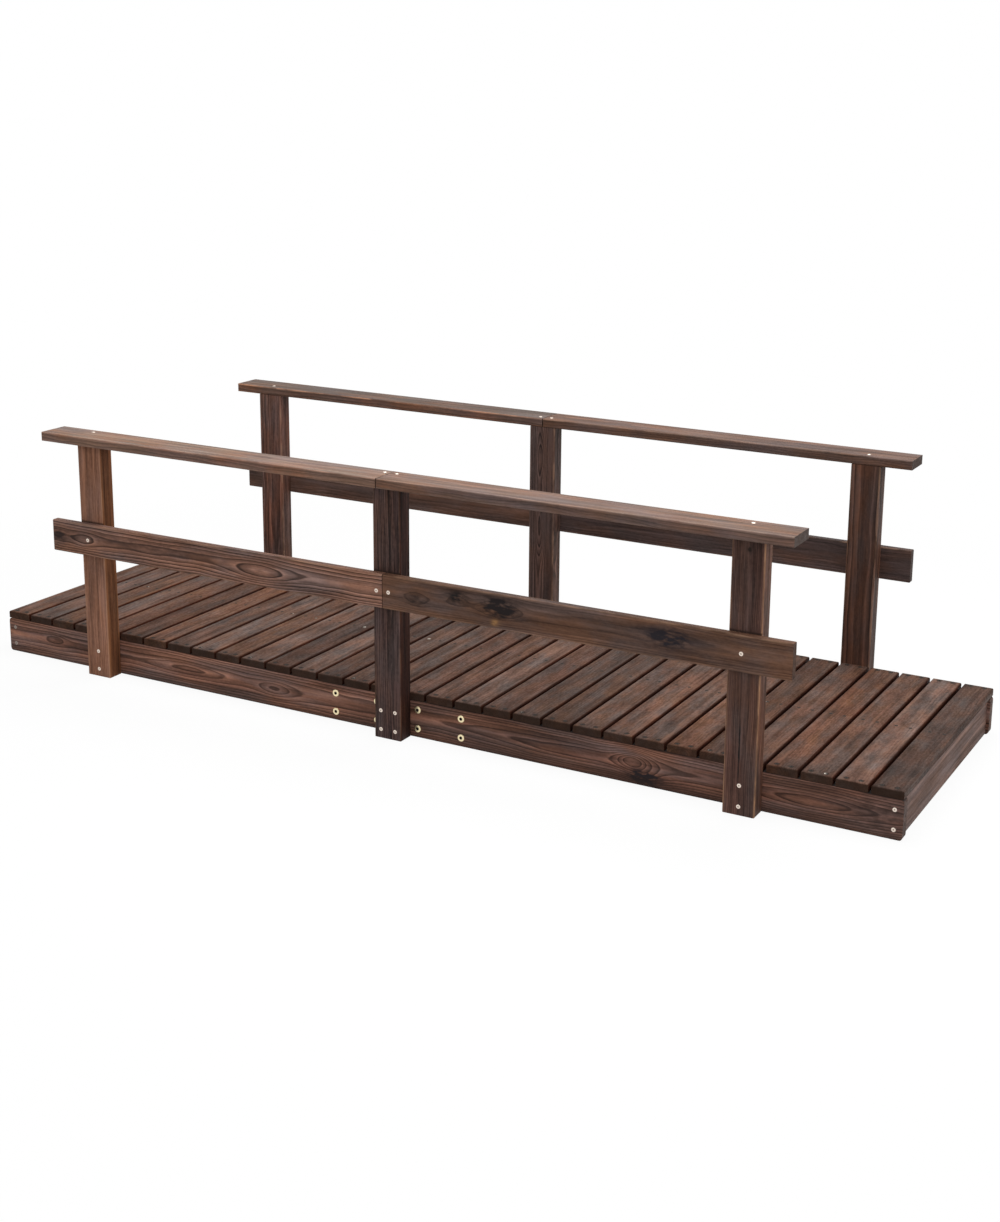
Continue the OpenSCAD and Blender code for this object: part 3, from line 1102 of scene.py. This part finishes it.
@dataclass
class Walkway:
    """Deck boards on two side beams and a joist, closed by an end board at each end."""

    # Deck boards: dull and speckled, each a little warmer, greyer or darker than the next, with painted shade
    # on the sides and arrises along the gaps, and stain with painted shade round the outer screws.
    deck: ClassVar[StainedFir] = StainedFir(
        "#664537", light=1.12, dark=0.7, fibre=0.26, hair=0.3, grit=0.9, painted_side_tone="#3f1d11", sheen=0.06,
        patch=(85.0, 30.0), mottle=0.36, spread=0.36, grey="#594c47", greying=0.6, warm="#7e573f",
        warming=0.65, arris_wear_and_light="#1c120e", wear=0.35, wear_mm=3.0, end="#33241c", soak=0.9, seep=0.45)
    deck_figure: ClassVar[Figure] = Figure(7, pith_across=45.0, pith_depth=14.0, ring=4.5)
    plate_seed: ClassVar[int] = 140
    end_board_seed: ClassVar[int] = 150
    joist_seed: ClassVar[int] = 160
    # Beams: the bold flames and eyes of flat-sawn fir, with painted shade along the ground and on the narrow
    # top and bottom.
    beam: ClassVar[StainedFir] = StainedFir(
        "#926756", light=1.5, dark=0.34, fibre=0.46, patch=(200.0, 30.0), mottle=0.35, wear=0.0,
        painted_side_tone="#1c110d", foot=0.7)
    beams: ClassVar[dict[str, StainedFir]] = {
        "left": beam, "right": replace(beam, tone="#7d5749", light=1.55, dark=0.3)}
    # End boards: greyer and plainer than the beams.
    end_board: ClassVar[StainedFir] = StainedFir(
        "#72584e", light=1.2, dark=0.7, fibre=0.48, mottle=0.3, wear=0.0)
    # Timber under the deck: the same stain, seen only from below.
    hidden: ClassVar[StainedFir] = StainedFir("#5a3d33")
    end_screws: ClassVar[dict[str, PlatedSteel]] = {"left": DULL_ZINC, "right": ZINC}
    figures: ClassVar[dict[str, Figure]] = {
        "front_left_beam": Figure(101, drift_depth=0.008, wobble=4.0, heave=0.8, bold=0.7, knots=(
            Knot(-415, 11, 30, 14, -4.0, depth=0.7), Knot(239, -1, 50, 22, -7.0), Knot(0, 4, 110, 24, -5.0))),
        "front_right_beam": Figure(103, drift_depth=0.002, wobble=3.0, heave=0.5, phase=0.3, bold=0.7, knots=(
            Knot(-125, -3, 230, 34, -8.0), Knot(385, -2, 120, 26, -9.0),
            Knot(510, 4, 130, 60, 0.0, "#2a1f1b", 0.6), Knot(0, 10, 40, 24, -14.0, depth=0.25),
            Knot(27, -25, 38, 18, -8.0, "#221b1e", 2.0))),
        "back_left_beam": Figure(111, drift_depth=-0.015),
        "back_right_beam": Figure(113, drift_depth=0.02),
    }

    end_screw_in: float = 18.0
    end_screw_rows: tuple[float, float] = (21.0, 62.0)
    deck_screw_head: float = 8.0
    deck_screw_apart: float = 30.0
    # The bolts sit in the holes through beams and plates.
    bolt_columns: tuple[float, ...] = (-161.0, -52.0, 52.0, 161.0)
    bolt_rows: tuple[float, float] = (21.0, 64.0)

    def dress(self) -> None:
        """Gives every board of the walkway its finish."""
        screw_line = box_mm("back_right_beam")[2].y
        DeckBoards(DECK_STACKS, Lie.FLAT_ACROSS, self.deck, self.deck_figure,
                   screw_line=screw_line, screw_apart=self.deck_screw_apart).dress()
        for node, figure in self.figures.items():
            Board((node,), Lie.UPRIGHT_ALONG, self.beams[node.split("_")[1]], figure).dress()
        for n, side in enumerate(SIDES):
            figure = Figure(self.plate_seed + n)
            Board((f"{side}_splice_plate",), Lie.UPRIGHT_ALONG, self.hidden, figure).dress()
        for n, end in enumerate(ENDS):
            figure = Figure(self.end_board_seed + n)
            Board((f"{end}_end_board",), Lie.UPRIGHT_ACROSS, self.end_board, figure).dress()
            figure = Figure(self.joist_seed + n)
            Board((f"{end}_joist",), Lie.UPRIGHT_ALONG, self.hidden, figure).dress()

    def fasten(self) -> None:
        """Sets the screws of the deck and the beam ends, and the bolts of the joining plates."""
        _, beam_high, beam_middle = box_mm("back_right_beam")
        plate_low, _, _ = box_mm("back_splice_plate")
        top = box_mm(DECK_STACKS[0])[1].z
        pitch, _ = deck_run()
        middles = [(n - (DECK_BOARDS - 1) / 2) * pitch for n in range(DECK_BOARDS)]
        half = self.deck_screw_apart / 2
        lines = {"front": -beam_middle.y, "middle": 0.0, "back": beam_middle.y}
        for line, y in lines.items():
            CrossScrew(STAINED_AND_SHADED_ZINC, head=self.deck_screw_head).set_in(f"deck_screws_{line}", [
                Spot((x + step, y, top), UP) for x in middles for step in (-half, half)])
        bolts = [(x, z) for x in self.bolt_columns for z in self.bolt_rows]
        for side, sign in SIDES.items():
            out = (0, sign, 0)
            outer = sign * beam_high.y
            for end, way in ENDS.items():
                CrossScrew(self.end_screws[end]).set_in(f"beam_end_screws_{side}_{end}", [
                    Spot((way * (beam_high.x - self.end_screw_in), outer, z), out)
                    for z in self.end_screw_rows])
            SocketBolt(BRASSED).set_in(f"splice_bolts_{side}", [Spot((x, outer, z), out) for x, z in bolts])
            WasheredNut(BRASSED).set_in(f"splice_nuts_{side}", [
                Spot((x, sign * plate_low.y, z), (0, -sign, 0)) for x, z in bolts])


@dataclass
class Railing:
    """Posts, handrail and mid rail along one side of the bridge."""

    side: str
    # Handrails: the palest boards, with a soft sheen on top, arrises rubbed pale with a painted highlight,
    # and painted light and shade on the front and back edges.
    top: ClassVar[StainedFir] = StainedFir(
        "#7c6555", light=1.3, dark=0.55, fibre=0.36, warm="#8a5a3c", end="#2e1c12", soak=0.9)
    tops: ClassVar[dict[str, StainedFir]] = {
        "front_left": replace(top, warming=0.7, arris_wear_and_light="#ab8c79", sheen=0.3, painted_side_tone="#7f6150"),
        "front_right": replace(top, tone="#735746", warming=0.7, arris_wear_and_light="#a08674", wear=0.4, sheen=0.3,
                               painted_side_tone="#6d5244"),
        "back_left": replace(top, tone="#5a4b42", warming=0.6, wear=0.45, sheen=0.2, painted_side_tone="#6f5649"),
        "back_right": replace(top, tone="#674d40", warming=0.6, wear=0.2, sheen=0.2, painted_side_tone="#654d42"),
    }
    # Posts: straight streaks up the board, from light brown at the left to nearly black in the middle, with
    # painted light and shade on their sides and arrises rubbed pale with a painted highlight.
    posts: ClassVar[dict[str, tuple[StainedFir, Figure]]] = {
        "front_left_post": (
            StainedFir("#9a6c55", light=1.2, dark=0.75, fibre=0.42, hair=0.9, painted_side_tone="#72472d", arris_wear_and_light="#c9977a",
                       wear=0.8, wear_mm=6.0, rubbed=0.5, greying=0.25),
            Figure(201, pith_across=60.0, pith_depth=-20.0)),
        "front_middle_post": (
            StainedFir("#523e3b", light=1.5, dark=0.4, fibre=0.75, hair=0.9, wear=0.3, painted_side_tone="#331c16"),
            Figure(203, pith_across=30.0, pith_depth=-25.0)),
        "front_right_post": (
            StainedFir("#5c4139", light=1.4, dark=0.45, fibre=0.5, hair=0.8, painted_side_tone="#6a4a3e", arris_wear_and_light="#b98f72",
                       wear=0.75, wear_mm=4.0, rubbed=0.35),
            Figure(205, pith_across=2.0, pith_depth=12.0, knots=(
                Knot(257, 2, 5, 4, 0.0, "#241914", 1.6), Knot(-152, -3, 52, 1.6, 0.0, "#0f0a08", 2.2)))),
        "back_left_post": (
            StainedFir("#714c3f", light=1.4, dark=0.4, fibre=0.55, hair=0.9),
            Figure(251, pith_across=12.0, pith_depth=-30.0)),
        "back_middle_post": (
            StainedFir("#634c45", dark=0.3),
            Figure(253, pith_across=-5.0, pith_depth=6.0, bold=0.6, knots=(
                Knot(205, 2, 60, 18, -10.0), Knot(35, -3, 80, 17, -12.0)))),
        "back_right_post": (
            StainedFir("#604032", dark=0.25),
            Figure(255, pith_across=4.0, pith_depth=2.0, ring=7.0)),
    }
    # Mid rails: large eyes in bold rings on the near left, black knots in plain wood on the near right.
    rails: ClassVar[dict[str, tuple[StainedFir, Figure]]] = {
        "front_left_mid_rail": (
            StainedFir("#8a6555", light=1.8, dark=0.15, fibre=0.45),
            Figure(221, wobble=4.0, heave=0.5, phase=0.2, bold=0.6, knots=(
                Knot(137, -4, 78, 26, -8.0), Knot(-365, -3, 34, 18, -5.0),
                Knot(-440, 0, 30, 22, -2.0, "#241a1a", 0.9), Knot(-190, 8, 210, 11, 0.0, "#3d2a25", 0.7)))),
        "front_right_mid_rail": (
            StainedFir("#6d4e3d", dark=0.5, light=1.3),
            Figure(223, wobble=4.0, heave=0.6, knots=(
                Knot(-373, -5, 24, 17, -6.0, depth=0.9), Knot(-273, 15, 26, 16, -6.0, depth=1.3),
                Knot(-176, 7, 42, 22, -13.0, "#1a1212", 2.1), Knot(-184, -25, 9, 6, 0.0, "#b08355", 1.1),
                Knot(200, 6, 52, 22, -6.0, "#221d22", 1.6)))),
        "back_left_mid_rail": (StainedFir("#684e43", light=1.25, dark=0.55), Figure(271)),
        "back_right_mid_rail": (StainedFir("#534340", light=1.25, dark=0.6), Figure(273)),
    }

    handrail_crown: float = 1.1
    joint_apart: float = 30.0
    foot_rows: tuple[float, float] = (18.0, 62.0)
    middle_foot_rows: tuple[float, float] = (19.5, 62.5)
    middle_foot_apart: float = 36.0
    handrail_ring: float = 4.0
    handrail_seeds: ClassVar[dict[str, int]] = {"front": 210, "back": 250}

    def dress(self) -> None:
        """Gives the posts and rails of this side their finish."""
        sign = SIDES[self.side]
        rail_top = box_mm(f"{self.side}_left_mid_rail")[1].z
        for node, (finish, figure) in self.posts.items():
            if node.startswith(self.side):
                Post((node,), Lie.STANDING, finish, figure, rail_top=rail_top, outer_sign=sign).dress()
        for node, (finish, figure) in self.rails.items():
            if node.startswith(self.side):
                Board((node,), Lie.UPRIGHT_ALONG, finish, figure).dress()
        for end, way in ENDS.items():
            half = f"{self.side}_{end}"
            figure = Figure(self.handrail_seeds[self.side] + way, ring=self.handrail_ring)
            Board((f"{half}_handrail",), Lie.FLAT_ALONG, self.tops[half], figure).dress()

    def fasten(self) -> None:
        """Sets the screws of the post feet, the handrail and the mid rail.

        Both sides take their places from the back right, which the other three mirror.
        """
        _, post_high, post = box_mm("back_right_post")
        _, rail_high, rail = box_mm("back_right_mid_rail")
        top = box_mm("back_right_handrail")[1].z
        sign = SIDES[self.side]
        out = (0, sign, 0)
        half = self.joint_apart / 2
        along = (-post.x, -half, half, post.x)
        CrossScrew(ZINC, crown=self.handrail_crown).set_in(f"handrail_screws_{self.side}", [
            Spot((x, sign * post.y, top), UP) for x in along])
        CrossScrew(ZINC).set_in(f"mid_rail_screws_{self.side}", [
            Spot((x, sign * rail_high.y, rail.z), out) for x in along])
        rows = ((post.x, self.foot_rows), (self.middle_foot_apart / 2, self.middle_foot_rows))
        feet = [(way * x, z) for x, heights in rows for way in ENDS.values() for z in heights]
        CrossScrew(ZINC).set_in(f"post_screws_{self.side}", [
            Spot((x, sign * post_high.y, z), out) for x, z in feet])


@dataclass(frozen=True)
class Lamp:
    """A square soft lamp that points at the bridge: place and side in metres, power in watts."""

    name: str
    at: tuple[float, float, float]
    side: float
    watts: float
    aim: ClassVar[tuple[float, float, float]] = (0.0, 0.0, 0.2)

    def hang(self) -> None:
        """Hangs the lamp in the scene."""
        data = bpy.data.lights.new(self.name, "AREA")
        data.shape, data.size, data.energy = "SQUARE", self.side, self.watts
        seat = bpy.data.objects.new(self.name, data)
        bpy.context.scene.collection.objects.link(seat)
        seat.location = self.at
        seat.rotation_euler = (Vector(self.aim) - Vector(self.at)).to_track_quat("-Z", "Y").to_euler()


def background_rays(tree: Tree) -> Socket:
    """Picks the rays that see the white background: from the camera, off metal and through glass.

    Args:
        tree: Node tree of the floor or the world.

    Returns:
        1 for such a ray, otherwise 0.
    """
    path = add_node(tree, "LightPath").outputs
    seen = add_node(tree, "Math", {
        0: path["Is Camera Ray"], 1: path["Is Glossy Ray"]}, operation="MAXIMUM").outputs[0]
    return add_node(tree, "Math", {0: seen, 1: path["Is Transmission Ray"]}, operation="MAXIMUM").outputs[0]


@dataclass
class Studio:
    """White floor, soft lamps and the camera, in metres, degrees and pixels of the photograph."""

    camera_at: tuple[float, float, float] = (1.98980, -3.44809, 1.44005)
    azimuth: float = 28.312
    elevation: float = 13.884
    roll: float = 0.598
    focal_px: float = 1795.58
    centre_px: tuple[float, float] = (525.0, 500.0)
    frame_px: tuple[float, float] = (1000.0, 1222.0)
    sensor_mm: float = 36.0
    clip: tuple[float, float] = (0.05, 100.0)
    sky_level: float = 0.35
    floor_side: float = 60.0
    floor_drop: float = 0.0005
    paper: str = "#f4f4f4"
    # What the floor throws back at the bridge is darker than the paper that the camera sees.
    paper_in_light: str = "#a8a6a4"
    haze: float = 0.93
    haze_span: tuple[float, float] = (1.3, 2.2)
    # Half sizes of the ground under the deck, where no haze lifts the shadow.
    covered: tuple[float, float, float] = (1.12, 0.32, 1.0)
    lamps: tuple[Lamp, ...] = (
        Lamp("overhead_lamp", (0.3, 0.2, 3.2), 3.0, 110.0),
        Lamp("front_lamp", (1.5, -4.0, 2.2), 2.0, 35.0),
        Lamp("end_lamp", (4.0, 0.5, 1.6), 1.6, 26.0))

    def camera(self) -> None:
        """Sets the camera where the photograph was taken from."""
        data = bpy.data.cameras.new("camera")
        data.sensor_width = self.sensor_mm
        long_side = max(self.frame_px)
        data.lens = self.focal_px * data.sensor_width / long_side
        data.shift_x = (self.frame_px[0] / 2 - self.centre_px[0]) / long_side
        data.shift_y = (self.centre_px[1] - self.frame_px[1] / 2) / long_side
        data.clip_start, data.clip_end = self.clip
        seat = bpy.data.objects.new("camera", data)
        bpy.context.scene.collection.objects.link(seat)
        turn = (Matrix.Rotation(math.radians(self.azimuth), 4, "Z")
                @ Matrix.Rotation(math.radians(90.0 - self.elevation), 4, "X")
                @ Matrix.Rotation(math.radians(self.roll), 4, "Z"))
        seat.matrix_world = Matrix.Translation(self.camera_at) @ turn
        bpy.context.scene.camera = seat

    def floor(self) -> None:
        """Lays the floor, which keeps the bridge's shadow and fades into the white behind it."""
        bpy.ops.object.select_all(action="DESELECT")
        bpy.ops.mesh.primitive_plane_add(size=self.floor_side, location=(0.0, 0.0, -self.floor_drop))
        ground = bpy.context.object
        ground.name = "floor"
        # Matte studio paper: no gloss, only a soft shadow round the bridge on white.
        made, tree = new_material("white_studio_floor")
        shown = background_rays(tree)
        paper = add_node(tree, "BsdfDiffuse", {"Color": linear(self.paper)}).outputs[0]
        dim = add_node(tree, "BsdfDiffuse", {"Color": linear(self.paper_in_light)}).outputs[0]
        lit = add_node(tree, "MixShader", {0: shown, 1: dim, 2: paper}).outputs[0]
        glow = add_node(tree, "Emission", {"Color": linear(WHITE), "Strength": 1.0}).outputs[0]
        place = add_node(tree, "TexCoord").outputs["Object"]
        far = add_node(tree, "VectorMath", {0: place}, operation="LENGTH").outputs["Value"]
        fade = add_node(tree, "MapRange", {
            "Value": far, "From Min": self.haze_span[0], "From Max": self.haze_span[1],
            "To Min": self.haze}).outputs[0]
        size = add_node(tree, "VectorMath", {0: place}, operation="ABSOLUTE").outputs[0]
        past = add_node(tree, "VectorMath", {0: size, 1: self.covered}, operation="SUBTRACT").outputs[0]
        over = add_node(tree, "SeparateXYZ", {0: past}).outputs
        most = add_node(tree, "Math", {0: over[0], 1: over[1]}, operation="MAXIMUM").outputs[0]
        clear = add_node(tree, "Math", {0: most, 1: 0.0}, operation="GREATER_THAN").outputs[0]
        lifted = add_node(tree, "Math", {0: fade, 1: clear}, operation="MULTIPLY").outputs[0]
        away = add_node(tree, "Math", {0: lifted, 1: shown}, operation="MULTIPLY").outputs[0]
        whole = add_node(tree, "MixShader", {0: away, 1: lit, 2: glow}).outputs[0]
        add_node(tree, "OutputMaterial", {"Surface": whole})
        ground.data.materials.append(made)

    def sky(self) -> None:
        """Gives an even light all round, seen as white by the camera and in metal."""
        world = bpy.data.worlds.new("studio")
        bpy.context.scene.world = world
        world.use_nodes = True
        tree = world.node_tree
        tree.nodes.clear()
        level = add_node(tree, "MapRange", {
            "Value": background_rays(tree), "To Min": self.sky_level}).outputs[0]
        back = add_node(tree, "Background", {"Color": linear(WHITE), "Strength": level}).outputs[0]
        add_node(tree, "OutputWorld", {"Surface": back})

    def build(self) -> None:
        """Sets up floor, light and camera."""
        bpy.context.scene.view_settings.view_transform = "Standard"
        self.floor()
        self.sky()
        for lamp in self.lamps:
            lamp.hang()
        self.camera()


def main() -> None:
    """Builds the bridge's looks in order."""
    logging.basicConfig(level=logging.INFO, format="%(message)s")
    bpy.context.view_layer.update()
    Studio().build()
    walkway = Walkway()
    walkway.dress()
    walkway.fasten()
    for side in SIDES:
        railing = Railing(side)
        railing.dress()
        railing.fasten()


if __name__ == "__main__":
    main()
